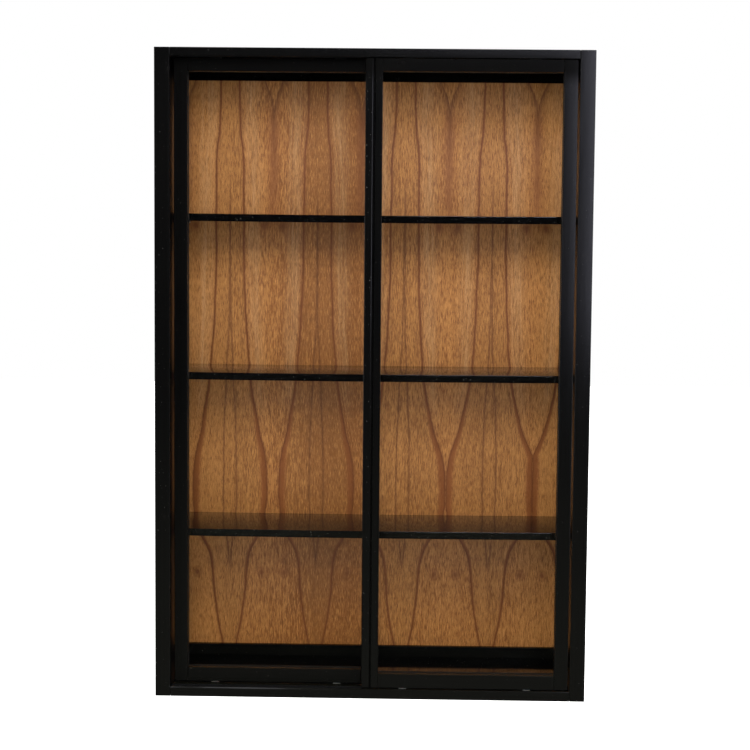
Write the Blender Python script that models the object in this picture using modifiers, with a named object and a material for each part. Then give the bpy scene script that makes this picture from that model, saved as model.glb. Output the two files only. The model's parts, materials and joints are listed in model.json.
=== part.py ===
"""Wall mounted showcase: a shallow lacquered cabinet with two glazed sliding doors.

Everything is placed in cabinet coordinates, in metres: x from the middle, y from the front
edges back towards the wall, and z up from the underside. The cabinet empty carries them to
the world, whose origin is the middle of the hanging rail's rear face, against the wall.
"""

import math

import bmesh
import bpy
from mathutils import Matrix, Vector

GAP = 0.0003  # between pieces that touch
EASE = 0.0008  # eased edges of the lacquered wood
EASE_SEGMENTS = 2
THROUGH = 0.002  # how far a cutter runs past a face

# Carcass
WIDTH = 0.800
HEIGHT = 1.200
DEPTH = 0.240
SIDE_THICK = 0.028
TOP_THICK = 0.016
BOTTOM_THICK = 0.018
INNER_X = WIDTH / 2 - SIDE_THICK
FLOOR_Z = BOTTOM_THICK
CEILING_Z = HEIGHT - TOP_THICK
TONGUE_LENGTH = 0.008
TONGUE_THICK = 0.006
TONGUE_Y = (0.070, 0.205)

# Back of the cabinet
BACK_Y = 0.222
BACK_THICK = 0.006
BACK_GROOVE = 0.008
BATTEN_THICK = 0.010
BATTEN_TOP_Z = 0.040
UPPER_BATTEN_Z = 1.1577
HANGING_RAIL_HEIGHT = 0.100
SPACER_RAIL_HEIGHT = 0.060

# Shelves
SHELF_THICK = 0.014
SHELF_FRONT_Y = 0.060
SHELF_TOPS = {"lower": 0.305, "middle": 0.6025, "upper": 0.8995}
FIXED_SHELF = "middle"
PIN_RADIUS = 0.0025
PIN_LENGTH = 0.0157
PIN_DEPTH = 0.008
PIN_YS = {"front": 0.085, "rear": 0.200}

# Doors
DOOR_THICK = 0.020
FRONT_DOOR_Y = 0.002
REAR_DOOR_Y = 0.028
DOOR_BOTTOM_Z = 0.021
DOOR_TOP_Z = 1.1825
DOOR_OUTER_X = 0.3685
REAR_DOOR_INNER_X = 0.013
FRONT_DOOR_INNER_X = -0.015
STILE_WIDTH = 0.025
MEETING_STILE_WIDTH = 0.030
BOTTOM_RAIL_HEIGHT = 0.026
TOP_RAIL_HEIGHT = 0.023
REBATE_WIDTH = 0.008
REBATE_Y = 0.010
GLASS_THICK = 0.004
TENON_LENGTH = 0.018
TENON_Y = (0.008, 0.014)
TENON_MARGIN = 0.004  # from the rail's outer edge
TENON_SHOULDER = 0.001  # between the tenon and the rebate

# Finger groove down the front door's meeting stile
GROOVE_X = (-0.0035, 0.0025)
GROOVE_DEPTH = 0.007
GROOVE_SHOULDER = 0.003
GROOVE_RADIUS = 0.0008
GROOVE_STEP = 0.001

# Running gear
FITTING_INSET = 0.076  # rollers and guides, from each end of a door
CHANNEL_WIDTH = 0.0104
CHANNEL_HEIGHT = 0.0052
CHANNEL_WALL = 0.0012
ROLLER_RADIUS = 0.008
ROLLER_WIDTH = 0.006
ROLLER_CHAMFER = 0.0008
ROLLER_BORE = 0.00156
ROLLER_RIDE = 0.0001
AXLE_RADIUS = 0.0015
HOUSING_LENGTH = 0.036
HOUSING_WIDTH = 0.012
HOUSING_Z = (0.0195, 0.037)
HOUSING_SLOT = 0.008
WHEEL_CLEARANCE = 0.001  # above the wheel, inside its housing
GUIDE_LENGTH = 0.020
GUIDE_WIDTH = 0.006
GUIDE_Z = (1.172, 1.187)

# Hanger plates, let into the hanging rail
HANGER_X = 0.300
PLATE_LENGTH = 0.060
PLATE_HEIGHT = 0.022
PLATE_THICK = 0.0018
KEYHOLE_RADIUS = 0.005
KEYHOLE_DROP = 0.003
KEYHOLE_SLOT = 0.0044
KEYHOLE_TOP = 0.008
POCKET_WIDTH = 0.018
POCKET_HEIGHT = 0.020
POCKET_DEPTH = 0.007
SCREW_SPREAD = 0.023
SCREW_HEAD = 0.0033
SCREW_SHANK = 0.0016
SCREW_LENGTH = 0.009
SCREW_POINT = 0.002

HANGING_RAIL_Z = CEILING_Z - HANGING_RAIL_HEIGHT / 2
ORIGIN = Vector((0, DEPTH, HANGING_RAIL_Z))
TRACK_YS = {
    "front": FRONT_DOOR_Y + DOOR_THICK / 2,
    "rear": REAR_DOOR_Y + DOOR_THICK / 2,
}
CHANNEL_FLOOR = FLOOR_Z - CHANNEL_HEIGHT + CHANNEL_WALL
ROLLER_Z = CHANNEL_FLOOR + ROLLER_RIDE + ROLLER_RADIUS

# Name: colour, roughness, metallic, alpha
FINISHES = {
    "black_lacquer": ((0.012, 0.012, 0.013), 0.22, 0.0, 1.0),
    "shelf_lacquer": ((0.010, 0.010, 0.011), 0.10, 0.0, 1.0),
    "wood_veneer": ((0.36, 0.19, 0.08), 0.45, 0.0, 1.0),
    "clear_glass": ((0.90, 0.93, 0.92), 0.02, 0.0, 0.25),
    "black_rubber": ((0.02, 0.02, 0.02), 0.7, 0.0, 1.0),
    "black_channel": ((0.03, 0.03, 0.03), 0.4, 0.6, 1.0),
    "white_nylon": ((0.62, 0.62, 0.60), 0.45, 0.0, 1.0),
    "zinc_steel": ((0.55, 0.56, 0.58), 0.35, 1.0, 1.0),
}


def clear_scene():
    for obj in list(bpy.data.objects):
        bpy.data.objects.remove(obj, do_unlink=True)


def new_collection(name, hidden=False):
    collection = bpy.data.collections.new(name)
    collection.hide_render = hidden
    bpy.context.scene.collection.children.link(collection)
    return collection


def new_material(name, colour, roughness, metallic, alpha):
    material = bpy.data.materials.new(name)
    material.use_nodes = True
    shader = material.node_tree.nodes["Principled BSDF"]
    shader.inputs["Base Color"].default_value = (*colour, 1)
    shader.inputs["Roughness"].default_value = roughness
    shader.inputs["Metallic"].default_value = metallic
    shader.inputs["Alpha"].default_value = alpha
    material.diffuse_color = (*colour, alpha)
    return material


clear_scene()
PARTS = new_collection("wall_mounted_showcase")
CUTTERS = new_collection("cutters", hidden=True)


def new_empty(name, location, parent=None):
    empty = bpy.data.objects.new(name, None)
    empty.location = location
    empty.parent = parent
    PARTS.objects.link(empty)
    return empty


CABINET = new_empty("cabinet", -ORIGIN)


def add_object(name, data, centre, finish, parent):
    """Adds an object at a place in cabinet coordinates; with no finish it is a cutter."""
    obj = bpy.data.objects.new(name, data)
    parent = parent or CABINET
    offset = parent.location if parent is not CABINET else Vector()
    obj.parent = parent
    obj.location = Vector(centre) - offset
    if finish:
        data.materials.append(new_material(f"{name}_{finish}", *FINISHES[finish]))
        PARTS.objects.link(obj)
    else:
        obj.hide_render = True
        obj.display_type = "WIRE"
        CUTTERS.objects.link(obj)
    return obj


def box(name, low, high, finish=None, parent=None, ease=0.0):
    """A box between two corners, its edges eased by a bevel where asked."""
    low, high = Vector(low), Vector(high)
    mesh = bpy.data.meshes.new(name)
    shape = bmesh.new()
    bmesh.ops.create_cube(shape, size=1, matrix=Matrix.Diagonal((*(high - low), 1)))
    shape.to_mesh(mesh)
    shape.free()
    obj = add_object(name, mesh, (low + high) / 2, finish, parent)
    if ease:
        bevel = obj.modifiers.new("eased_edges", "BEVEL")
        bevel.width = ease
        bevel.segments = EASE_SEGMENTS
    return obj


def rod(name, centre, radius, length, axis, finish=None, parent=None, tip=None, sides=24):
    """A cylinder, or a cone that ends in another radius, along one axis."""
    mesh = bpy.data.meshes.new(name)
    shape = bmesh.new()
    turn = Vector((0, 0, 1)).rotation_difference(Vector(axis)).to_matrix().to_4x4()
    bmesh.ops.create_cone(
        shape, cap_ends=True, segments=sides, radius1=radius,
        radius2=radius if tip is None else tip, depth=length, matrix=turn,
    )
    shape.to_mesh(mesh)
    shape.free()
    mesh.shade_smooth()
    mesh.set_sharp_from_angle(angle=math.radians(35))
    return add_object(name, mesh, centre, finish, parent)


def turned(name, profile, centre, finish, parent=None, closed=False, steps=24):
    """A profile of (radius, height) pairs, run down its outer side, turned about Y."""
    mesh = bpy.data.meshes.new(name)
    count = len(profile)
    links = [(i, (i + 1) % count) for i in range(count if closed else count - 1)]
    mesh.from_pydata([(r, 0, h) for r, h in profile], links, [])
    obj = add_object(name, mesh, centre, finish, parent)
    obj.rotation_euler = (math.radians(-90), 0, 0)
    screw = obj.modifiers.new("turned", "SCREW")
    screw.steps = screw.render_steps = steps
    screw.use_merge_vertices = True
    screw.merge_threshold = 0.00001
    return obj


def prism(name, outline, low_z, high_z, finish, parent=None):
    """A flat outline in x and y, pulled up from one height to another, as a mesh."""
    curve = bpy.data.curves.new(name, "CURVE")
    curve.dimensions = "2D"
    curve.fill_mode = "BOTH"
    curve.extrude = (high_z - low_z) / 2
    spline = curve.splines.new("POLY")
    spline.points.add(len(outline) - 1)
    for point, (x, y) in zip(spline.points, outline):
        point.co = (x, y, 0, 1)
    spline.use_cyclic_u = True
    guide = bpy.data.objects.new(name + "_outline", curve)
    bpy.context.scene.collection.objects.link(guide)
    graph = bpy.context.evaluated_depsgraph_get()
    mesh = bpy.data.meshes.new_from_object(guide.evaluated_get(graph))
    bpy.data.objects.remove(guide, do_unlink=True)
    shape = bmesh.new()
    shape.from_mesh(mesh)
    bmesh.ops.remove_doubles(shape, verts=shape.verts, dist=0.00001)
    bmesh.ops.recalc_face_normals(shape, faces=shape.faces)
    shape.to_mesh(mesh)
    shape.free()
    mesh.name = name
    return add_object(name, mesh, (0, 0, (low_z + high_z) / 2), finish, parent)


def combine(target, other, operation="DIFFERENCE"):
    boolean = target.modifiers.new(other.name, "BOOLEAN")
    boolean.operation = operation
    boolean.object = other


def cut_box(targets, name, low, high):
    cutter = box(name, low, high)
    for target in targets:
        combine(target, cutter)


def spread(low, high, by):
    """A box's corners moved out by a clearance on every side."""
    return Vector(low) - Vector((by,) * 3), Vector(high) + Vector((by,) * 3)


def tongue_ends(panel, name, middle, sides):
    """Tongues on both ends of a panel, at a height, and their grooves in the sides."""
    tongue = (
        (-INNER_X - TONGUE_LENGTH, TONGUE_Y[0], middle - TONGUE_THICK / 2),
        (INNER_X + TONGUE_LENGTH, TONGUE_Y[1], middle + TONGUE_THICK / 2),
    )
    combine(panel, box(f"{name}_tongue", *tongue), "UNION")
    cut_box(sides.values(), f"{name}_tongue_groove", *spread(*tongue, GAP))


def carcass():
    """The four outer panels, tongued together and grooved for the back."""
    sides = {}
    for name, side in (("left", -1), ("right", 1)):
        x = sorted((side * WIDTH / 2, side * INNER_X))
        sides[name] = box(
            f"side_panel_{name}", (x[0], 0, 0), (x[1], DEPTH, HEIGHT), "black_lacquer", ease=EASE
        )
    end = INNER_X - GAP
    levels = {"bottom": (0, BOTTOM_THICK), "top": (CEILING_Z, HEIGHT)}
    panels = {}
    for name, (low, high) in levels.items():
        panel = box(f"{name}_panel", (-end, 0, low), (end, DEPTH, high), "black_lacquer", ease=EASE)
        tongue_ends(panel, name, (low + high) / 2, sides)
        panels[name] = panel
    return sides, panels


def back(sides, panels):
    """The veneered back in its groove, the battens on it and the rails behind it."""
    reach = Vector((INNER_X + BACK_GROOVE, 0, 0))
    low = Vector((0, BACK_Y, FLOOR_Z - BACK_GROOVE)) - reach
    high = Vector((0, BACK_Y + BACK_THICK, CEILING_Z + BACK_GROOVE)) + reach
    box("back_panel", low, high, "wood_veneer")
    cut_box([*sides.values(), *panels.values()], "back_groove", *spread(low, high, GAP))
    end = INNER_X - GAP
    battens = {
        "lower": (FLOOR_Z + GAP, BATTEN_TOP_Z),
        "upper": (UPPER_BATTEN_Z, CEILING_Z - GAP),
    }
    for name, (low_z, high_z) in battens.items():
        box(
            f"back_batten_{name}", (-end, BACK_Y - GAP - BATTEN_THICK, low_z),
            (end, BACK_Y - GAP, high_z), "black_lacquer", ease=EASE,
        )
    rails = {
        "hanging_rail": (CEILING_Z - HANGING_RAIL_HEIGHT, CEILING_Z - GAP),
        "spacer_rail": (FLOOR_Z + GAP, FLOOR_Z + SPACER_RAIL_HEIGHT),
    }
    front = BACK_Y + BACK_THICK + GAP
    made = {
        name: box(name, (-end, front, low_z), (end, DEPTH, high_z), "black_lacquer")
        for name, (low_z, high_z) in rails.items()
    }
    return made["hanging_rail"]


def hanger_plate(name, x, rail):
    """A keyhole plate flush in the rail, with room behind it for a wall screw's head."""
    z = HANGING_RAIL_Z
    corner = Vector((PLATE_LENGTH / 2, 0, PLATE_HEIGHT / 2))
    low = Vector((x, DEPTH - PLATE_THICK, z)) - corner
    high = Vector((x, DEPTH, z)) + corner
    plate = box(f"hanger_plate_{name}", low, high, "zinc_steel")
    past = Vector((0, THROUGH, 0))
    recess_low, recess_high = spread(low, high, GAP)
    cut_box([rail], f"plate_recess_{name}", recess_low, recess_high + past)
    pocket = Vector((POCKET_WIDTH / 2, 0, POCKET_HEIGHT / 2))
    cut_box(
        [rail], f"head_pocket_{name}",
        Vector((x, DEPTH - PLATE_THICK - POCKET_DEPTH, z)) - pocket, Vector((x, DEPTH, z)) + pocket,
    )
    hole_z = z - KEYHOLE_DROP
    past_plate = PLATE_THICK + THROUGH
    hole = rod(f"keyhole_{name}", (x, DEPTH, hole_z), KEYHOLE_RADIUS, 2 * past_plate, (0, 1, 0))
    combine(plate, hole)
    half_slot = Vector((KEYHOLE_SLOT / 2, past_plate, 0))
    cut_box(
        [plate], f"keyhole_slot_{name}",
        Vector((x, DEPTH, hole_z)) - half_slot, Vector((x, DEPTH, z + KEYHOLE_TOP)) + half_slot,
    )
    for place, step in (("a", -SCREW_SPREAD), ("b", SCREW_SPREAD)):
        at = f"{name}_{place}"
        sink = rod(
            f"countersink_{at}", (x + step, DEPTH - PLATE_THICK / 2, z), SCREW_SHANK + GAP,
            PLATE_THICK + GAP, (0, 1, 0), tip=SCREW_HEAD + 2 * GAP,
        )
        pilot = rod(
            f"pilot_{at}", (x + step, DEPTH - SCREW_LENGTH / 2, z), SCREW_SHANK + GAP,
            SCREW_LENGTH + THROUGH, (0, 1, 0),
        )
        combine(plate, sink)
        combine(plate, pilot)
        combine(rail, pilot)
        turned(
            f"hanger_screw_{at}",
            [(0, 0), (SCREW_HEAD, 0), (SCREW_SHANK, -PLATE_THICK),
             (SCREW_SHANK, SCREW_POINT - SCREW_LENGTH), (0, -SCREW_LENGTH)],
            (x + step, DEPTH - GAP / 2, z), "zinc_steel", steps=16,
        )


def shelf(name, top_z, sides):
    """A full-width shelf: the fixed one is tongued into the sides, the others lie on pins."""
    low_z = top_z - SHELF_THICK
    end = INNER_X - GAP
    low, high = (-end, SHELF_FRONT_Y, low_z), (end, BACK_Y - GAP, top_z)
    board = box(f"shelf_{name}", low, high, "shelf_lacquer", ease=EASE)
    if name == FIXED_SHELF:
        tongue_ends(board, f"{name}_shelf", (low_z + top_z) / 2, sides)
        return
    pin_z = low_z - GAP - PIN_RADIUS
    for side_name, side in (("left", -1), ("right", 1)):
        for place, y in PIN_YS.items():
            at = f"{name}_{side_name}_{place}"
            middle = side * (INNER_X + PIN_DEPTH - PIN_LENGTH / 2)
            rod(
                f"shelf_pin_{at}", (middle, y, pin_z), PIN_RADIUS, PIN_LENGTH, (1, 0, 0),
                "zinc_steel", sides=16,
            )
            hole = rod(
                f"pin_hole_{at}", (side * INNER_X, y, pin_z), PIN_RADIUS + GAP,
                2 * (PIN_DEPTH + GAP), (1, 0, 0), sides=16,
            )
            combine(sides[side_name], hole)


def channels(panels):
    """U channels let into the floor for the rollers and into the ceiling for the guides."""
    end = INNER_X - GAP
    groove = Vector((THROUGH, GAP, GAP))
    runs = {
        "bottom_track": ("bottom", FLOOR_Z - CHANNEL_HEIGHT, FLOOR_Z, CHANNEL_WALL),
        "top_guide_track": ("top", CEILING_Z, CEILING_Z + CHANNEL_HEIGHT, -CHANNEL_WALL),
    }
    for name, (panel, low_z, high_z, wall) in runs.items():
        for place, y in TRACK_YS.items():
            low = Vector((-end, y - CHANNEL_WIDTH / 2, low_z))
            high = Vector((end, y + CHANNEL_WIDTH / 2, high_z))
            channel = box(f"{name}_{place}", low, high, "black_channel")
            run_low = low + Vector((-THROUGH, CHANNEL_WALL, wall))
            run_high = high + Vector((THROUGH, -CHANNEL_WALL, wall))
            cut_box([channel], f"{name}_{place}_run", run_low, run_high)
            cut_box([panels[panel]], f"{name}_{place}_groove", low - groove, high + groove)


def arc(centre, radius, start, end, count=5):
    """Points along an arc, its angles in degrees."""
    turns = [math.radians(start + (end - start) * i / (count - 1)) for i in range(count)]
    return [(centre[0] + radius * math.cos(t), centre[1] + radius * math.sin(t)) for t in turns]


def finger_stile(name, low, high, parent):
    """A meeting stile with a narrow finger groove; the strip left of it stands a step back."""
    face, rear = low[1], high[1]
    step = face + GROOVE_STEP
    left, right = GROOVE_X
    bottom = face + GROOVE_DEPTH
    outline = [
        (low[0], rear),
        *arc((low[0] + EASE, step + EASE), EASE, 180, 270),
        *arc((left, step + GROOVE_SHOULDER), GROOVE_SHOULDER, 270, 360),
        (left + GROOVE_SHOULDER, bottom),
        (right, bottom),
        *arc((right + GROOVE_RADIUS, face + GROOVE_RADIUS), GROOVE_RADIUS, 180, 270),
        *arc((high[0] - EASE, face + EASE), EASE, 270, 360),
        (high[0], rear),
    ]
    return prism(name, outline, low[2], high[2], "black_lacquer", parent)


def door_frame(name, left, right, y, meeting, door):
    """Two stiles and two tenoned rails, with a rebate behind for the glass."""
    widths = [STILE_WIDTH, STILE_WIDTH]
    widths[meeting] = MEETING_STILE_WIDTH
    openings = (left + widths[0], right - widths[1])
    ends = ((left, openings[0]), (openings[1], right))
    rear = y + DOOR_THICK
    stiles = []
    for side, (low_x, high_x) in enumerate(ends):
        label = f"{name}_stile_{'meeting' if side == meeting else 'outer'}"
        low, high = (low_x, y, DOOR_BOTTOM_Z), (high_x, rear, DOOR_TOP_Z)
        if side == meeting and name == "right_door":
            stiles.append(finger_stile(label, low, high, door))
        else:
            stiles.append(box(label, low, high, "black_lacquer", door, EASE))
    rails = {}
    spans = {
        "bottom": (DOOR_BOTTOM_Z, DOOR_BOTTOM_Z + BOTTOM_RAIL_HEIGHT),
        "top": (DOOR_TOP_Z - TOP_RAIL_HEIGHT, DOOR_TOP_Z),
    }
    for place, (low_z, high_z) in spans.items():
        rail = box(
            f"{name}_rail_{place}", (openings[0] + GAP, y, low_z), (openings[1] - GAP, rear, high_z),
            "black_lacquer", door, EASE,
        )
        inner, outer = REBATE_WIDTH + TENON_SHOULDER, TENON_MARGIN
        below, above = (outer, inner) if place == "bottom" else (inner, outer)
        tenon = (
            (openings[0] - TENON_LENGTH, y + TENON_Y[0], low_z + below),
            (openings[1] + TENON_LENGTH, y + TENON_Y[1], high_z - above),
        )
        combine(rail, box(f"{name}_{place}_tenon", *tenon), "UNION")
        cut_box(stiles, f"{name}_{place}_mortise", *spread(*tenon, GAP))
        rails[place] = rail
    low = Vector((openings[0], y + REBATE_Y, spans["bottom"][1]))
    high = Vector((openings[1], rear + THROUGH, spans["top"][0]))
    around = Vector((REBATE_WIDTH, 0, REBATE_WIDTH))
    cut_box([*stiles, *rails.values()], f"{name}_rebate", low - around, high + around)
    return rails, low, high


def glazing(name, low, high, rear, door):
    """The pane against the rebate's lip, and the gasket that holds it from behind."""
    around = Vector((REBATE_WIDTH - GAP, 0, REBATE_WIDTH - GAP))
    pane_low = low - around + Vector((0, GAP, 0))
    pane_high = high + around
    pane_high.y = pane_low.y + GLASS_THICK
    box(f"{name}_glass", pane_low, pane_high, "clear_glass", door)
    seal_low = Vector((pane_low.x, pane_high.y + GAP, pane_low.z))
    seal_high = Vector((pane_high.x, rear - GAP, pane_high.z))
    seal = box(f"{name}_gasket", seal_low, seal_high, "black_rubber", door)
    inset = Vector((REBATE_WIDTH, -THROUGH, REBATE_WIDTH))
    cut_box([seal], f"{name}_gasket_hole", seal_low + inset, seal_high - inset)


def roller(name, x, y, rail, door):
    """A grooved-in housing with its axle, and the wheel that turns on it."""
    half = Vector((HOUSING_LENGTH / 2, HOUSING_WIDTH / 2, 0))
    low = Vector((x, y, HOUSING_Z[0])) - half
    high = Vector((x, y, HOUSING_Z[1])) + half
    housing = box(f"{name}_housing", low, high, "zinc_steel", door)
    slot_half = Vector((HOUSING_LENGTH / 2 + THROUGH, HOUSING_SLOT / 2, 0))
    cut_box(
        [housing], f"{name}_slot", Vector((x, y, HOUSING_Z[0] - THROUGH)) - slot_half,
        Vector((x, y, ROLLER_Z + ROLLER_RADIUS + WHEEL_CLEARANCE)) + slot_half,
    )
    across = HOUSING_WIDTH + 2 * THROUGH
    combine(housing, rod(f"{name}_axle_hole", (x, y, ROLLER_Z), AXLE_RADIUS + GAP, across, (0, 1, 0)))
    cut_box([rail], f"{name}_mortise", *spread(low, high, GAP))
    rod(
        f"{name}_axle", (x, y, ROLLER_Z), AXLE_RADIUS, HOUSING_WIDTH, (0, 1, 0), "zinc_steel", door
    )
    half_width = ROLLER_WIDTH / 2
    inner = ROLLER_RADIUS - ROLLER_CHAMFER
    turned(
        f"{name}_wheel",
        [(ROLLER_BORE, half_width), (inner, half_width), (ROLLER_RADIUS, half_width - ROLLER_CHAMFER),
         (ROLLER_RADIUS, ROLLER_CHAMFER - half_width), (inner, -half_width), (ROLLER_BORE, -half_width)],
        (x, y, ROLLER_Z), "white_nylon", door, closed=True, steps=32,
    )


def top_guide(name, x, y, rail, door):
    """A nylon block in the top rail that runs in the guide channel."""
    half = Vector((GUIDE_LENGTH / 2, GUIDE_WIDTH / 2, 0))
    low = Vector((x, y, GUIDE_Z[0])) - half
    high = Vector((x, y, GUIDE_Z[1])) + half
    box(name, low, high, "white_nylon", door)
    cut_box([rail], f"{name}_mortise", *spread(low, high, GAP))


def door(name, left, right, y, meeting):
    """One sliding door; meeting says which of its stiles, 0 or 1, is at the middle."""
    carrier = new_empty(name, (left, y, DOOR_BOTTOM_Z), CABINET)
    rails, low, high = door_frame(name, left, right, y, meeting, carrier)
    glazing(name, low, high, y + DOOR_THICK, carrier)
    for place, x in (("left", left + FITTING_INSET), ("right", right - FITTING_INSET)):
        middle = y + DOOR_THICK / 2
        roller(f"{name}_roller_{place}", x, middle, rails["bottom"], carrier)
        top_guide(f"{name}_guide_{place}", x, middle, rails["top"], carrier)


def showcase():
    sides, panels = carcass()
    hanging_rail = back(sides, panels)
    for name, x in (("left", -HANGER_X), ("right", HANGER_X)):
        hanger_plate(name, x, hanging_rail)
    for name, top_z in SHELF_TOPS.items():
        shelf(name, top_z, sides)
    channels(panels)
    door("left_door", -DOOR_OUTER_X, REAR_DOOR_INNER_X, REAR_DOOR_Y, meeting=1)
    door("right_door", FRONT_DOOR_INNER_X, DOOR_OUTER_X, FRONT_DOOR_Y, meeting=0)


showcase()
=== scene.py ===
"""Looks of the wall mounted showcase: black lacquer, bookmatched veneer, glass and fittings.

Everything is in metres in the frame's own axes: X to the right, Y into the wall and Z up, with
the origin in the middle of the hanging rail's rear face.
"""

import json
import math

import bmesh
import bpy
from mathutils import Matrix, Vector

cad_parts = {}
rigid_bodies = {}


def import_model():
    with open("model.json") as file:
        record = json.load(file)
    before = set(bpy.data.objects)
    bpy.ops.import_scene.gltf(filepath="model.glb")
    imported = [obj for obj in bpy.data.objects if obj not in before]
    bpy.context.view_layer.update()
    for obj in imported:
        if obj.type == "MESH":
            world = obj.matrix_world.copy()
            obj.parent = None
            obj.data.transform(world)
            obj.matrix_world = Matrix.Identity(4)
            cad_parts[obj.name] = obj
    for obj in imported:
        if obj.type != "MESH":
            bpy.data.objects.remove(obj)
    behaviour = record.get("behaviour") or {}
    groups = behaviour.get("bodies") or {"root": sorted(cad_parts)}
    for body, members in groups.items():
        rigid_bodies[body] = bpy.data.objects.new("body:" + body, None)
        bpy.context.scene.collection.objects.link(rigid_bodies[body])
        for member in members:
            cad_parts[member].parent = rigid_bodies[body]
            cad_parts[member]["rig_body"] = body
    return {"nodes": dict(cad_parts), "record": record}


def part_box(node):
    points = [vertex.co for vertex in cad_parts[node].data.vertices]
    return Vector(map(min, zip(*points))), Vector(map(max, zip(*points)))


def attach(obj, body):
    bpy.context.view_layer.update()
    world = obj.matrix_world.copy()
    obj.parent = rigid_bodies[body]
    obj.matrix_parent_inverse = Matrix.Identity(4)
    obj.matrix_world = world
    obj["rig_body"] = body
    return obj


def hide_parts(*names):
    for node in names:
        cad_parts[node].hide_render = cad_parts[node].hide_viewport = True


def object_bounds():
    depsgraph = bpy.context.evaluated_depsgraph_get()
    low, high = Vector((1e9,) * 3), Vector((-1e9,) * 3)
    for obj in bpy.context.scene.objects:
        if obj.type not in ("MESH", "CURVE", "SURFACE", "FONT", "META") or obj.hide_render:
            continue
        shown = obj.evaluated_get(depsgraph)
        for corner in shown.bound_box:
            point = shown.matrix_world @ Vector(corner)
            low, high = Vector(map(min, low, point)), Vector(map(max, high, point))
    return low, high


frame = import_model()
CAD_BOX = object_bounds()
LOW, HIGH = CAD_BOX
UNDERSIDE = LOW.z
FRONT = LOW.y

# Camera
CAMERA_AT = Vector((0.087, -3.040, -0.2281))
CAMERA_TURN = math.radians(0.932)
CAMERA_DOWN = math.radians(4.26)
CAMERA_ROLL = math.radians(0.54)
CAMERA_LENS = 73.67
CAMERA_SHIFT = (-0.0267, -0.0652)

# Veneer: leaves are laid in mirrored pairs, and heights run up from the cabinet's underside
LEAF_WIDTH = 0.086
FIRST_SEAM_X = -0.1165
FIGURE_HEIGHT = 1.2
FIGURE_WIDTH = 0.1
OUTER_RING = (
    (0.0, 0.000), (0.045, 0.0155), (0.135, 0.030), (0.208, 0.037), (0.259, 0.057), (0.309, 0.071),
    (0.358, 0.074), (0.478, 0.0565), (0.606, 0.038), (0.784, 0.0285), (0.920, 0.0275),
    (1.023, 0.026), (1.058, 0.022), (1.157, 0.0187),
)
INNER_RING = (
    (0.185, 0.000), (0.259, 0.006), (0.309, 0.0125), (0.400, 0.013), (0.478, 0.0115),
    (0.568, 0.0077), (0.687, 0.002), (0.784, 0.001), (0.992, 0.000),
)
CROWN_RING = ((0.700, 0.100), (0.930, 0.0995), (1.100, 0.086), (1.157, 0.0685), (1.200, 0.055))
LOWER_KNOT = (0.064, 0.184)  # distance from the seam and height
UPPER_KNOT = (0.067, 0.876)

GRAIN_WIDTH = 0.10  # how wide a leaf's grain is drawn before it follows the rings
RIPPLES = 900.0  # radians per metre away from a knot

# Veneer: a pair is where a change starts and ends, in heights, X, or distance from the middle
INNER_STARTS, INNER_ENDS = (0.17, 0.22), (0.90, 1.0)
CROWN_STARTS = (0.80, 1.05)
TRAIL_STARTS, TRAIL_ENDS = (0.82, 0.96), (1.07, 1.12)
LUSTRE_STARTS = (0.45, 0.62)
BULGE_STARTS = (0.24, 0.31)
BULGE = (0.345, 0.13)  # middle height and spread
BULGE_X, BULGE_GROWTH = -0.02, 1.1  # the outer ring bulges more and more to the right of X
SPREAD = (0.37, 0.12)  # middle height and spread of the widest part of the band
# Painted shade beside the meeting stiles, with a darker tone of the veneer, between these X
POST_SHADE_STARTS, POST_SHADE_ENDS = (-0.23, -0.13), (-0.01, 0.01)  # X
# Painted light: the veneer is painted paler towards the outer edges, between these distances
EDGE_LIGHT_ENDS = (0.23, 0.36)  # distance from the middle
DEEP_WOOD, PALE_WOOD = (0.215, 0.070, 0.0130), (0.540, 0.230, 0.063)
FLAME = (0.260, 0.122, 0.034)  # between the seam and the outer ring
SILK = (0.53, 0.31, 0.15)  # the pale sheen of the figure
PORE = (0.115, 0.043, 0.012)
KNOT = (0.170, 0.048, 0.012)
TRAIL = (0.190, 0.055, 0.014)  # the dark streak up from the upper knots
CROWN_LINE = (0.125, 0.037, 0.011)
INNER_LINE = (0.115, 0.033, 0.009)
OUTER_BAND, OUTER_LINE = (0.200, 0.050, 0.010), (0.110, 0.028, 0.007)

# Lacquer: a pair is where a change starts and ends, in heights above the cabinet's underside, in
# depths behind its front, or in X
# Painted glow of low light on upright faces, fading out between these heights
LOW_GLOW_FADE = (0.02, 0.70)  # heights, on upright faces
SETTLED_TO_CLEAN = (0.025, 0.075)  # depths, on level faces
ABOVE_FLOOR = (0.030, 0.036)  # heights
TOP_FACE = (1.190, 1.196)  # heights
# Painted shade from the top panel: gloss is cut between these heights on faces set back
CLOSE_UNDER_TOP = (1.130, 1.165)  # heights
SET_BACK = (0.0006, 0.0016)  # depths
BOTTOM_EDGE = 0.018  # height of the bottom panel's upper face
# A pale line along the bottom panel's lower left front edge: a painted edge highlight, with wear
EDGE_LINE_DEPTH = 0.0004
EDGE_LINE_WIDTH = (0.0014, 0.0016)  # in height and in depth
EDGE_LINE_START = (-0.376, -0.370)  # X
EDGE_LINE_END = (-0.36, 0.0)  # X
LIGHTER_SHELF_FRONTS = (0.15, 0.75)  # heights
BLACK, BROWNED_BLACK = (0.0013, 0.0013, 0.0014), (0.0025, 0.0024, 0.0022)
# The first colour is a painted glow of low light; the second is dust settled near the front
PAINTED_LOW_GLOW, SETTLED_DUST = (0.0043, 0.0043, 0.0035), (0.020, 0.019, 0.011)
SPECK = (0.22, 0.21, 0.19)
WORN_SPOT = (0.10, 0.09, 0.08)
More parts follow.
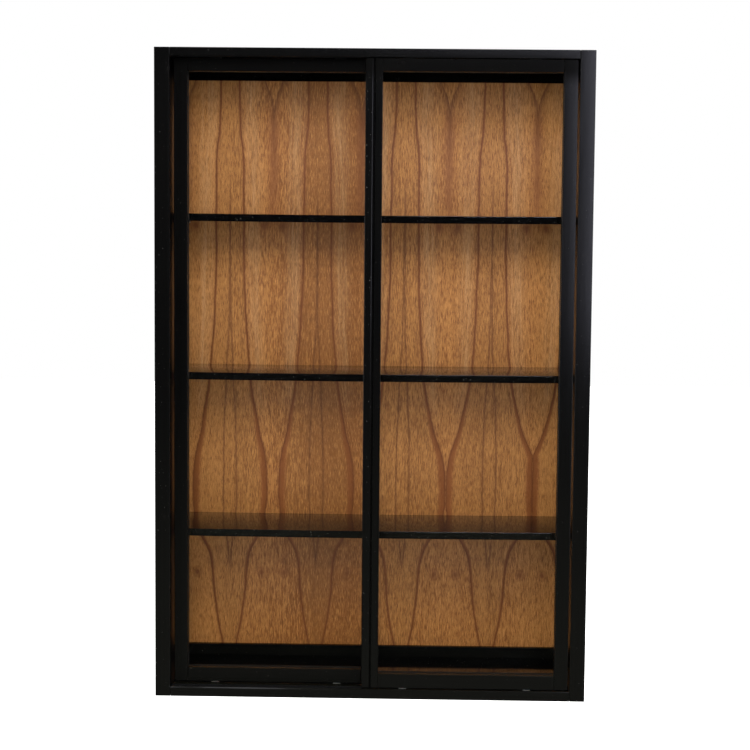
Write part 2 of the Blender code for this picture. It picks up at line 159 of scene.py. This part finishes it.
# The pale line on the lower left edge: a painted edge highlight, with wear
EDGE_HIGHLIGHT_AND_WEAR = (0.13, 0.13, 0.14)
SHELF_BLACK, SHELF_PALE_LOW = (0.0016, 0.0016, 0.0018), (0.0066, 0.0065, 0.0052)
SHELF_SPECK = (0.2, 0.19, 0.17)

# Glass
GLASS_TINT = (0.982, 0.990, 0.984, 1)
GLASS_IOR = 1.45
GLASS_GLEAM = 1.4  # how many times stronger than one bare face a pane mirrors

# Shapes
SHELF_SAG = 0.001
SHELF_ROUNDING = 0.0012
SHELF_CUTS = 31
CROWN = 0.00008  # how far a member's front face stands proud in its middle
CROWN_STRIPS = 8
EASED = 0.0009  # depth of a member's eased edges
WELD = 0.000001  # corners within this are made one
FLAT = math.radians(0.5)  # faces that meet within this are made one
SHARP_MEMBER = math.radians(10)  # edges above this stay sharp
SHARP_SHELF = math.radians(40)

# Stage
DOME = 1.3  # strength of the soft light from all round
FLOOR_BELOW = 0.45
FLOOR_HALF = 9
COOL = (0.95, 0.95, 1.15)  # tint of the cooler lamps


class Value:
    """A shader value: sums and products of it add the math nodes that they need."""

    def __init__(self, tree, socket):
        self.tree = tree
        self.socket = socket

    def math(self, operation, *others):
        node = self.tree.nodes.new("ShaderNodeMath")
        node.operation = operation
        for place, value in zip(node.inputs, (self, *others)):
            connect(self.tree, place, value)
        return Value(self.tree, node.outputs[0])

    def __add__(self, other):
        return self.math("ADD", other)

    def __sub__(self, other):
        return self.math("SUBTRACT", other)

    def __mul__(self, other):
        return self.math("MULTIPLY", other)

    def __truediv__(self, other):
        return self.math("DIVIDE", other)

    def __neg__(self):
        return self * -1

    def __rsub__(self, other):
        return -self + other

    __radd__ = __add__
    __rmul__ = __mul__

    def falloff(self, width):
        """1 where this is 0, and less the further it is from it, over about a width."""
        return (-(self / width).math("POWER", 2)).math("EXPONENT")

    def step(self, low, high):
        """0 below low, 1 above high, and smooth between them."""
        node = self.tree.nodes.new("ShaderNodeMapRange")
        node.interpolation_type = "SMOOTHSTEP"
        for place, value in zip(node.inputs, (self, low, high, 0.0, 1.0)):
            connect(self.tree, place, value)
        return Value(self.tree, node.outputs[0])

    def curve(self, points, length, height):
        """Read off a smooth curve through points, each within a length and a height."""
        node = self.tree.nodes.new("ShaderNodeFloatCurve")
        node.mapping.use_clip = False
        line = node.mapping.curves[0].points
        for at, (x, y) in enumerate(points):
            if at < 2:
                line[at].location = (x / length, y / height)
            else:
                line.new(x / length, y / height)
        node.mapping.update()
        connect(self.tree, node.inputs["Value"], self / length)
        return Value(self.tree, node.outputs[0]) * height


def connect(tree, place, value):
    if isinstance(value, Value):
        tree.links.new(value.socket, place)
    elif isinstance(value, bpy.types.NodeSocket):
        tree.links.new(value, place)
    elif isinstance(value, tuple) and len(value) == 3 and place.type == "RGBA":
        place.default_value = (*value, 1)
    else:
        place.default_value = value


class Finish:
    """A material with one Principled BSDF, built up by short calls."""

    def __init__(self, name, **inputs):
        self.material = bpy.data.materials.new(name)
        self.material.use_nodes = True
        self.tree = self.material.node_tree
        self.shader = self.tree.nodes["Principled BSDF"]
        self.set(**inputs)
        place = self.tree.nodes.new("ShaderNodeTexCoord").outputs["Object"]
        split = self.tree.nodes.new("ShaderNodeSeparateXYZ")
        self.tree.links.new(place, split.inputs[0])
        self.place = place
        self.x, self.y, self.z = (Value(self.tree, socket) for socket in split.outputs)

    def set(self, **inputs):
        """Sets inputs of the shader, named in lower case with underscores."""
        places = {s.name.lower().replace(" ", "_"): s for s in self.shader.inputs}
        for name, value in inputs.items():
            connect(self.tree, places[name], value)

    def vector(self, x, y, z):
        node = self.tree.nodes.new("ShaderNodeCombineXYZ")
        for place, value in zip(node.inputs, (x, y, z)):
            connect(self.tree, place, value)
        return node.outputs[0]

    def stretched(self, along, across):
        """The object's own place, scaled so that noise runs in streaks along one axis."""
        scales = [across, across, across]
        scales["xyz".index(along)] = 1.0
        return self.vector(self.x * scales[0], self.y * scales[1], self.z * scales[2])

    def noise(self, place, scale, detail, roughness=0.5):
        node = self.tree.nodes.new("ShaderNodeTexNoise")
        for name, value in (
            ("Vector", place), ("Scale", scale), ("Detail", detail), ("Roughness", roughness)
        ):
            connect(self.tree, node.inputs[name], value)
        return Value(self.tree, node.outputs["Fac"])

    def mix(self, share, first, second):
        node = self.tree.nodes.new("ShaderNodeMix")
        node.data_type = "RGBA"
        places = [s for s in node.inputs if s.enabled]
        for place, value in zip(places, (share, first, second)):
            connect(self.tree, place, value)
        return next(s for s in node.outputs if s.enabled)

    def layered(self, colour, *layers):
        """A colour with others over it, each given as its share and its colour."""
        for share, over in layers:
            colour = self.mix(share, colour, over)
        return colour

    def bump(self, height, distance, strength):
        node = self.tree.nodes.new("ShaderNodeBump")
        connect(self.tree, node.inputs["Height"], height)
        node.inputs["Distance"].default_value = distance
        node.inputs["Strength"].default_value = strength
        self.tree.links.new(node.outputs[0], self.shader.inputs["Normal"])


def facing(finish):
    """How far a face looks up, and how far it looks in towards the cabinet's middle: 0 or 1."""
    split = finish.tree.nodes.new("ShaderNodeSeparateXYZ")
    normal = finish.tree.nodes.new("ShaderNodeTexCoord").outputs["Normal"]
    finish.tree.links.new(normal, split.inputs[0])
    up = Value(finish.tree, split.outputs["Z"])
    inward = Value(finish.tree, split.outputs["X"]) * -finish.x.math("SIGN")
    return up.step(0.6, 0.9), inward.step(0.6, 0.9)


def lacquer(name, along):
    """Brushed black lacquer: faint streaks along the member, orange peel, a few dust specks.

    It is duller on faces that look inwards and on ledges, and its gloss is cut as painted shade on
    the rails close under the top. Upright faces are painted lighter towards the bottom, a painted
    glow of low light. Dust has settled on what lies flat near the front, and a pale line along the
    lower left edge is painted, partly as an edge highlight and partly as wear.
    """
    finish = Finish(name)
    height = finish.z - UNDERSIDE
    depth = finish.y - FRONT
    up, inward = facing(finish)
    streaks = finish.noise(finish.stretched(along, 24.0), 9.0, 3.0, 0.6)
    peel = finish.noise(finish.place, 260.0, 1.0)
    cloud = finish.noise(finish.place, 7.0, 2.0)
    specks = finish.noise(finish.place, 420.0, 0.0).step(0.82, 0.86)
    worn = finish.noise(finish.place, 90.0, 2.0).step(0.70, 0.80)
    # Painted light: upright faces are painted lighter towards the bottom, a painted glow of low
    # light
    lighter_low_down = (1 - height.step(*LOW_GLOW_FADE)) * (1 - up)
    settled = up * (1 - depth.step(*SETTLED_TO_CLEAN))
    tall, deep = EDGE_LINE_WIDTH
    # Painted highlight with wear: a pale line along the bottom panel's lower left front edge
    rubbed = (height - BOTTOM_EDGE).falloff(tall) * (depth - EDGE_LINE_DEPTH).falloff(deep)
    rubbed = rubbed * finish.x.step(*EDGE_LINE_START) * (1 - finish.x.step(*EDGE_LINE_END))

    base = finish.layered(
        finish.mix(cloud, BLACK, BROWNED_BLACK),
        (lighter_low_down, PAINTED_LOW_GLOW),
        (specks * 0.16, SPECK),
        (worn * 0.03, WORN_SPOT),
        (settled * 0.2, SETTLED_DUST),
        (rubbed * cloud.step(0.35, 0.62) * 0.45, EDGE_HIGHLIGHT_AND_WEAR),
    )
    ledge = up * height.step(*ABOVE_FLOOR) * (1 - height.step(*TOP_FACE))
    dull = inward.math("MAXIMUM", ledge).math("MAXIMUM", settled * 0.85)
    # Painted shade: the gloss of set-back faces close under the top is cut, for the top panel's
    # shade
    top_overhang_shade = height.step(*CLOSE_UNDER_TOP) * depth.step(*SET_BACK)
    gloss = (1 - top_overhang_shade * 0.85) * (1 - dull * 0.80) * 0.5
    rough = (streaks * 0.10 + 0.125) * (1 - up * 0.5) + specks * 0.3 + dull * 0.15
    finish.set(base_color=base, roughness=rough, specular_ior_level=gloss)
    finish.bump(peel * 0.35 + streaks, 0.00004, 0.5)
    return finish.material


def shelf_lacquer():
    """Polished black: a mirror for the wood, with faint wiping marks and fronts lighter low down.
    """
    finish = Finish("polished_lacquer", specular_ior_level=0.5)
    wipe = finish.noise(finish.stretched("x", 9.0), 5.0, 3.0, 0.6)
    specks = finish.noise(finish.place, 380.0, 0.0).step(0.79, 0.83)
    up, _ = facing(finish)
    # Fronts are lighter towards the bottom
    lighter_low_down = (1 - up) * (1 - (finish.z - UNDERSIDE).step(*LIGHTER_SHELF_FRONTS))
    base = finish.layered(SHELF_BLACK, (lighter_low_down, SHELF_PALE_LOW), (specks * 0.2, SHELF_SPECK))
    finish.set(base_color=base, roughness=wipe * 0.06 + 0.045)
    finish.bump(wipe, 0.00003, 0.4)
    return finish.material


def ring(from_seam, line, soft, sharp):
    """A growth ring's dark line: it fades softly on the seam's side and ends sharply beyond."""
    beyond = from_seam - line
    inside = (beyond.math("MINIMUM", 0.0) / soft).math("EXPONENT")
    outside = (-(beyond.math("MAXIMUM", 0.0) / sharp)).math("EXPONENT")
    return inside * outside


def veneer():
    """Crown-cut leaves in mirrored pairs: nested rings round every other seam, pores and silk."""
    finish = Finish("bookmatched_veneer", specular_ior_level=0.3)
    height = finish.z - UNDERSIDE
    slow = finish.noise(finish.vector(finish.x * 0.4, 0.0, finish.z), 9.0, 2.0)
    shiver = finish.noise(finish.vector(finish.x, 0.0, finish.z), 55.0, 2.0)
    fray = finish.noise(finish.vector(finish.x, 0.0, finish.z * 0.5), 330.0, 1.0)
    wander = (slow - 0.5) * 0.006 + (shiver - 0.5) * 0.0022 + (fray - 0.5) * 0.0022
    across = finish.x - FIRST_SEAM_X
    drawn = across.math("PINGPONG", LEAF_WIDTH) + wander

    # The rings' distances from the seam, and their lines
    middle, extent = BULGE
    swelling = (height - middle).falloff(extent) * (finish.x - BULGE_X).math("MAXIMUM", 0.0)
    outer = height.curve(OUTER_RING, FIGURE_HEIGHT, FIGURE_WIDTH)
    outer = outer * (swelling * BULGE_GROWTH * height.step(*BULGE_STARTS) + 1.0)
    outer = outer.math("MINIMUM", LEAF_WIDTH - 0.0004)
    inner = height.curve(INNER_RING, FIGURE_HEIGHT, FIGURE_WIDTH)
    crown = height.curve(CROWN_RING, FIGURE_HEIGHT, FIGURE_WIDTH)
    outer_line = ring(drawn, outer, 0.0020, 0.0013)
    inner_line = ring(drawn, inner, 0.0015, 0.0012) * height.step(*INNER_STARTS)
    inner_line = inner_line * (1 - height.step(*INNER_ENDS))
    crown_line = ring(drawn, crown, 0.0058, 0.0012) * height.step(*CROWN_STARTS)
    trail = (drawn - LEAF_WIDTH).falloff(0.010) * height.step(*TRAIL_STARTS)
    trail = trail * (1 - height.step(*TRAIL_ENDS))

    # A dark band runs inside the outer ring, widest where the rings spread
    middle, extent = SPREAD
    spread = (height - middle).falloff(extent)
    depth = (outer - drawn) / (spread * 0.0105 + 0.0030) + (fray - 0.5) * 0.7
    beyond = (drawn - outer).math("MAXIMUM", 0.0) / 0.0014
    band = (1 - depth.step(0.5, 1.3)) * (-beyond).math("EXPONENT")

    # How far across its leaf a place is, 0 to 1, with the outer ring always at 0.5
    held = outer.math("MINIMUM", LEAF_WIDTH - 0.004)
    within = drawn / held * 0.5
    past = (drawn - held) / (LEAF_WIDTH - held) * 0.5 + 0.5
    is_past = drawn.math("GREATER_THAN", held)
    flow = within * (1 - is_past) + past * is_past
    leaf = (across / LEAF_WIDTH).math("FLOOR")

    def silken(shift, width, length):
        """Noise drawn out along the rings, in streaks of a width and a length."""
        place = finish.vector(flow * GRAIN_WIDTH, leaf * shift, finish.z * (width / length))
        return finish.noise(place, 1 / width, 3.0, 0.6)

    def flecks(shift, width, length, detail):
        """Upright flecks of a width and a length, about alike in the two leaves of a pair."""
        place = finish.vector(drawn, leaf * shift, finish.z * (width / length))
        return finish.noise(place, 1 / width, detail, 0.6)

    silk = (silken(0.37, 0.0040, 0.110) - 0.5) * 2.2 + 0.5
    fine = (flecks(0.0021, 0.0008, 0.014, 2.0) - 0.5) * 3.0 + 0.5
    pores = flecks(0.0033, 0.0010, 0.011, 1.0).step(0.55, 0.65)
    mottle = finish.noise(finish.vector(finish.x, 0.0, finish.z * 0.15), 24.0, 3.0, 0.6)
    lustre = (flow - 0.66).falloff(0.13) * height.step(*LUSTRE_STARTS)

    def from_knot(from_seam, rise):
        """The distance from a knot's middle: knots are a little taller than they are wide."""
        aside = drawn - from_seam
        above = (height - rise) * 0.8
        return (aside * aside + above * above).math("SQRT")

    lower = from_knot(*LOWER_KNOT)
    eyes = lower.falloff(0.0085) + from_knot(*UPPER_KNOT).falloff(0.0095) * 1.2
    ripples = (lower * RIPPLES).math("SINE") * lower.falloff(0.034)

    # Painted shade of the meeting stiles, with a darker tone of the veneer, left of the middle
    post_shade_and_tone = finish.x.step(*POST_SHADE_STARTS) * (1 - finish.x.step(*POST_SHADE_ENDS))
    # Painted light on the veneer's outer edges, against the shade of the stiles and side panels
    painted_edge_light = finish.x.math("ABSOLUTE").step(*EDGE_LIGHT_ENDS)
    tone = (mottle - 0.5) * 0.5 + (silk - 0.5) * 0.45 + (fine - 0.5) * 1.4 + 0.5
    tone = tone - post_shade_and_tone * 0.36 + painted_edge_light * 0.25
    wood = finish.layered(
        finish.mix(tone, DEEP_WOOD, PALE_WOOD),
        ((1 - is_past) * 0.16, FLAME),
        (lustre * silk * 0.45, SILK),
        (pores * 0.50, PORE),
        (eyes * 0.70 + ripples * 0.12, KNOT),
        (trail * 0.62, TRAIL),
        (crown_line * 0.80, CROWN_LINE),
        (inner_line * 0.90, INNER_LINE),
        (band * (tone * 0.2 + 0.62), OUTER_BAND),
        (outer_line * 0.75, OUTER_LINE),
    )
    finish.set(base_color=wood, roughness=silk * 0.08 + pores * 0.12 + 0.38)
    finish.bump(silk * 0.4 + fine * 0.3 - pores * 0.8, 0.00012, 0.55)
    return finish.material


def clear_glass():
    """Thin float glass: clear straight through, with a clean reflection and green in the depth."""
    finish = Finish("float_glass")
    tree = finish.tree
    out = tree.nodes["Material Output"]
    smear = finish.noise(finish.stretched("z", 3.0), 6.0, 3.0, 0.6)
    through = tree.nodes.new("ShaderNodeBsdfTransparent")
    through.inputs["Color"].default_value = GLASS_TINT
    gloss = tree.nodes.new("ShaderNodeBsdfGlossy")
    connect(tree, gloss.inputs["Roughness"], smear * 0.03 + 0.005)
    fresnel = tree.nodes.new("ShaderNodeFresnel")
    fresnel.inputs["IOR"].default_value = GLASS_IOR
    back = Value(tree, tree.nodes.new("ShaderNodeNewGeometry").outputs["Backfacing"])
    share = Value(tree, fresnel.outputs[0]) * (1 - back) * GLASS_GLEAM
    mix = tree.nodes.new("ShaderNodeMixShader")
    connect(tree, mix.inputs[0], share)
    tree.links.new(through.outputs[0], mix.inputs[1])
    tree.links.new(gloss.outputs[0], mix.inputs[2])
    tree.links.new(mix.outputs[0], out.inputs["Surface"])
    tree.nodes.remove(finish.shader)
    return finish.material


def rubber():
    finish = Finish("glazing_rubber")
    bloom = finish.noise(finish.place, 60.0, 3.0)
    finish.set(base_color=finish.mix(bloom, (0.003, 0.003, 0.003), (0.008, 0.008, 0.007)))
    finish.set(roughness=bloom * 0.2 + 0.6)
    finish.bump(finish.noise(finish.place, 900.0, 2.0), 0.00005, 0.5)
    return finish.material


def channel():
    """Black anodised aluminium, rubbed brighter along its floor by the rollers."""
    finish = Finish("anodised_channel", metallic=0.3)
    drawn = finish.noise(finish.stretched("x", 60.0), 22.0, 2.0)
    up, _ = facing(finish)
    rubbed = up * finish.noise(finish.stretched("x", 8.0), 6.0, 2.0)
    finish.set(base_color=finish.mix(rubbed * 0.4, (0.008, 0.008, 0.009), (0.08, 0.08, 0.08)))
    finish.set(roughness=drawn * 0.2 + 0.36, specular_ior_level=0.2)
    finish.bump(drawn, 0.00003, 0.5)
    return finish.material


def nylon(name, clean, soiled):
    finish = Finish(name, subsurface_weight=0.15, subsurface_scale=0.002)
    grime = finish.noise(finish.place, 210.0, 3.0, 0.65)
    finish.set(base_color=finish.mix(grime * 0.6, clean, soiled))
    finish.set(roughness=grime * 0.2 + 0.32)
    finish.bump(grime, 0.00008, 0.4)
    return finish.material


def zinc(name, dark, pale):
    """Zinc plating: metal with a faint spangle and rolling marks."""
    finish = Finish(name, metallic=1.0)
    spangle = finish.noise(finish.place, 330.0, 2.0)
    rolled = finish.noise(finish.stretched("x", 30.0), 40.0, 2.0)
    finish.set(base_color=finish.mix(spangle, dark, pale))
    finish.set(roughness=rolled * 0.22 + 0.24)
    finish.bump(rolled, 0.00004, 0.5)
    return finish.material


def pale_floor():
    finish = Finish("pale_floor", base_color=(0.85, 0.85, 0.85), roughness=0.9)
    finish.set(emission_color=(1.0, 1.0, 1.0), emission_strength=1.0)
    return finish.material


def dress(materials):
    """Gives every CAD node the finish that the record names for it."""
    level = ("rail", "batten", "top_panel", "bottom_panel")
    for part in frame["record"]["subparts"]:
        name, slot = part["node"], part["material_slot"]
        if slot == "black_lacquer":
            slot += "_level" if any(word in name for word in level) else "_upright"
        elif "_guide_" in name and slot == "white_nylon":
            slot = "guide_nylon"
        elif name.endswith("_housing"):
            slot = "housing_steel"
        node = frame["nodes"][name]
        for place in node.material_slots:
            place.material = materials[slot]


def crowned_members(materials):
    """The outer panels and the door frames, with front faces that swell a hair between edges."""
    upright = ["side_panel_left", "side_panel_right"]
    level = ["top_panel", "bottom_panel"]
    for door in ("left_door", "right_door"):
        upright.append(f"{door}_stile_outer")
        level += [f"{door}_rail_top", f"{door}_rail_bottom"]
    upright.append("left_door_stile_meeting")
    for node in upright:
        crowned(node, 0, materials["black_lacquer_upright"])
    for node in level:
        crowned(node, 2, materials["black_lacquer_level"])


def crowned(node, across, material):
    """A member cut into strips along its length, its front face bowed across an axis, 0 to 2."""
    low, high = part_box(node)
    middle, half = (low[across] + high[across]) / 2, (high[across] - low[across]) / 2
    shape = bmesh.new()
    shape.from_mesh(frame["nodes"][node].data)
    bmesh.ops.remove_doubles(shape, verts=shape.verts, dist=WELD)
    bmesh.ops.dissolve_limit(shape, angle_limit=FLAT, verts=shape.verts, edges=shape.edges)
    normal = Vector((0, 0, 0))
    normal[across] = 1
    for strip in range(1, CROWN_STRIPS):
        cut = low + normal * (2 * half * strip / CROWN_STRIPS)
        everything = [*shape.verts, *shape.edges, *shape.faces]
        bmesh.ops.bisect_plane(shape, geom=everything, plane_co=cut, plane_no=normal)
    for vert in shape.verts:
        if vert.co.y < low.y + EASED:
            vert.co.y += CROWN * ((vert.co[across] - middle) / half) ** 2
    mesh = bpy.data.meshes.new(f"{node}_crowned")
    shape.to_mesh(mesh)
    shape.free()
    mesh.shade_smooth()
    mesh.set_sharp_from_angle(angle=SHARP_MEMBER)
    mesh.materials.clear()
    mesh.materials.append(material)
    member = bpy.data.objects.new(f"{node}_crowned", mesh)
    bpy.context.scene.collection.objects.link(member)
    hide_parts(node)
    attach(member, frame["nodes"][node]["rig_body"])


def sagging_shelf(node, material):
    """A polished board with rounded edges that hangs a little in the middle."""
    low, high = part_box(node)
    size, middle = high - low, (low + high) / 2
    mesh = bpy.data.meshes.new(f"{node}_board")
    shape = bmesh.new()
    in_place = Matrix.Translation(middle) @ Matrix.Diagonal((*size, 1))
    bmesh.ops.create_cube(shape, size=1, matrix=in_place)
    bmesh.ops.bevel(
        shape, geom=shape.edges[:], offset=SHELF_ROUNDING, segments=4, profile=0.5,
        affect="EDGES",
    )
    cuts = [e for e in shape.edges if abs(e.verts[0].co.x - e.verts[1].co.x) > size.x / 2]
    bmesh.ops.subdivide_edges(shape, edges=cuts, cuts=SHELF_CUTS, use_grid_fill=True)
    for vert in shape.verts:
        vert.co.z -= SHELF_SAG * (1 - (2 * (vert.co.x - middle.x) / size.x) ** 2)
    shape.to_mesh(mesh)
    shape.free()
    mesh.shade_smooth()
    mesh.set_sharp_from_angle(angle=SHARP_SHELF)
    mesh.materials.append(material)
    board = bpy.data.objects.new(f"{node}_board", mesh)
    bpy.context.scene.collection.objects.link(board)
    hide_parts(node)
    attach(board, "cabinet")


def floor():
    """A white floor for the camera's eye only: it neither lights the cabinet nor is mirrored."""
    mesh = bpy.data.meshes.new("floor")
    shape = bmesh.new()
    bmesh.ops.create_grid(shape, x_segments=1, y_segments=1, size=FLOOR_HALF)
    shape.to_mesh(mesh)
    shape.free()
    mesh.materials.append(pale_floor())
    made = bpy.data.objects.new("floor", mesh)
    made.location = (0, 0, UNDERSIDE - FLOOR_BELOW)
    made.visible_diffuse = False
    made.visible_glossy = False
    bpy.context.scene.collection.objects.link(made)


def surroundings():
    """A pale dome that fills in soft light and that no gloss mirrors, white to the eye."""
    world = bpy.data.worlds.new("studio")
    bpy.context.scene.world = world
    world.use_nodes = True
    tree = world.node_tree
    seen = Value(tree, tree.nodes.new("ShaderNodeLightPath").outputs["Is Camera Ray"])
    dome = tree.nodes["Background"]
    dome.inputs["Color"].default_value = (1, 1, 1, 1)
    connect(tree, dome.inputs["Strength"], seen * (1 - DOME) + DOME)
    world.cycles_visibility.glossy = False


def softbox(name, at, size, power, tint=(1, 1, 1), matt=True, gloss=True):
    """A soft lamp, aimed at the middle, that lights matt surfaces, leaves gloss, or does both."""
    middle = (LOW + HIGH) / 2
    light = bpy.data.lights.new(name, "AREA")
    light.shape = "RECTANGLE"
    light.size, light.size_y = size
    light.energy = power
    light.color = tint
    lamp = bpy.data.objects.new(name, light)
    lamp.location = middle + Vector(at)
    lamp.rotation_euler = (-Vector(at)).to_track_quat("-Z", "Y").to_euler()
    lamp.visible_diffuse = matt
    lamp.visible_glossy = gloss
    bpy.context.scene.collection.objects.link(lamp)


def studio():
    """Lamps above and in front for the wood, and mostly cooler ones that gleam in the lacquer."""
    softbox("key_above", (0.2, -1.5, 1.25), (0.8, 0.4), 11.5, gloss=False)
    softbox("fill_left", (-0.6, -1.5, 0.7), (0.4, 0.4), 2.5, gloss=False)
    softbox("key_near", (0.05, -1.1, 0.75), (0.35, 0.3), 3.5, gloss=False)
    softbox("front_high", (-0.2, -3.0, 1.4), (0.5, 0.5), 20, gloss=False)
    softbox("floor_bounce", (0.15, -1.1, -1.3), (0.9, 0.6), 4.6, gloss=False)
    softbox("sheen_above", (0.4, -1.5, 1.25), (0.8, 0.4), 13, COOL, matt=False)
    softbox("strip_right", (0.9, -3.0, 0.7), (0.3, 1.8), 4.2, COOL)
    for side in (-1, 1):
        softbox("sheen_side", (side * 2.4, 1.4, -0.4), (2.8, 2.0), 14, COOL, matt=False)
        softbox("sheen_corner", (side * 2.4, -2.4, 0.0), (1.2, 1.8), 9, matt=False)
    softbox("sheen_rear", (0.0, 2.8, 0.5), (3.4, 1.4), 12, matt=False)
    softbox("sheen_top", (0.0, 1.5, 2.6), (2.0, 1.4), 9, COOL, matt=False)


def camera():
    data = bpy.data.cameras.new("camera")
    data.lens = CAMERA_LENS
    data.shift_x, data.shift_y = CAMERA_SHIFT
    made = bpy.data.objects.new("camera", data)
    made.matrix_world = (
        Matrix.Translation(CAMERA_AT)
        @ Matrix.Rotation(CAMERA_TURN, 4, "Z")
        @ Matrix.Rotation(math.pi / 2 - CAMERA_DOWN, 4, "X")
        @ Matrix.Rotation(CAMERA_ROLL, 4, "Z")
    )
    bpy.context.scene.collection.objects.link(made)
    bpy.context.scene.camera = made


def main():
    bpy.context.scene.view_settings.view_transform = "Standard"
    materials = {
        "black_lacquer_upright": lacquer("lacquer_upright", "z"),
        "black_lacquer_level": lacquer("lacquer_level", "x"),
        "shelf_lacquer": shelf_lacquer(),
        "wood_veneer": veneer(),
        "clear_glass": clear_glass(),
        "black_rubber": rubber(),
        "black_channel": channel(),
        "white_nylon": nylon("natural_nylon", (0.64, 0.63, 0.59), (0.36, 0.34, 0.30)),
        "guide_nylon": nylon("dark_nylon", (0.012, 0.012, 0.012), (0.030, 0.028, 0.024)),
        "zinc_steel": zinc("zinc_plate", (0.46, 0.47, 0.49), (0.66, 0.66, 0.64)),
        "housing_steel": zinc("blackened_zinc", (0.035, 0.035, 0.037), (0.070, 0.068, 0.064)),
    }
    dress(materials)
    crowned_members(materials)
    for level in ("lower", "middle", "upper"):
        sagging_shelf(f"shelf_{level}", materials["shelf_lacquer"])
    floor()
    surroundings()
    studio()
    camera()


main()
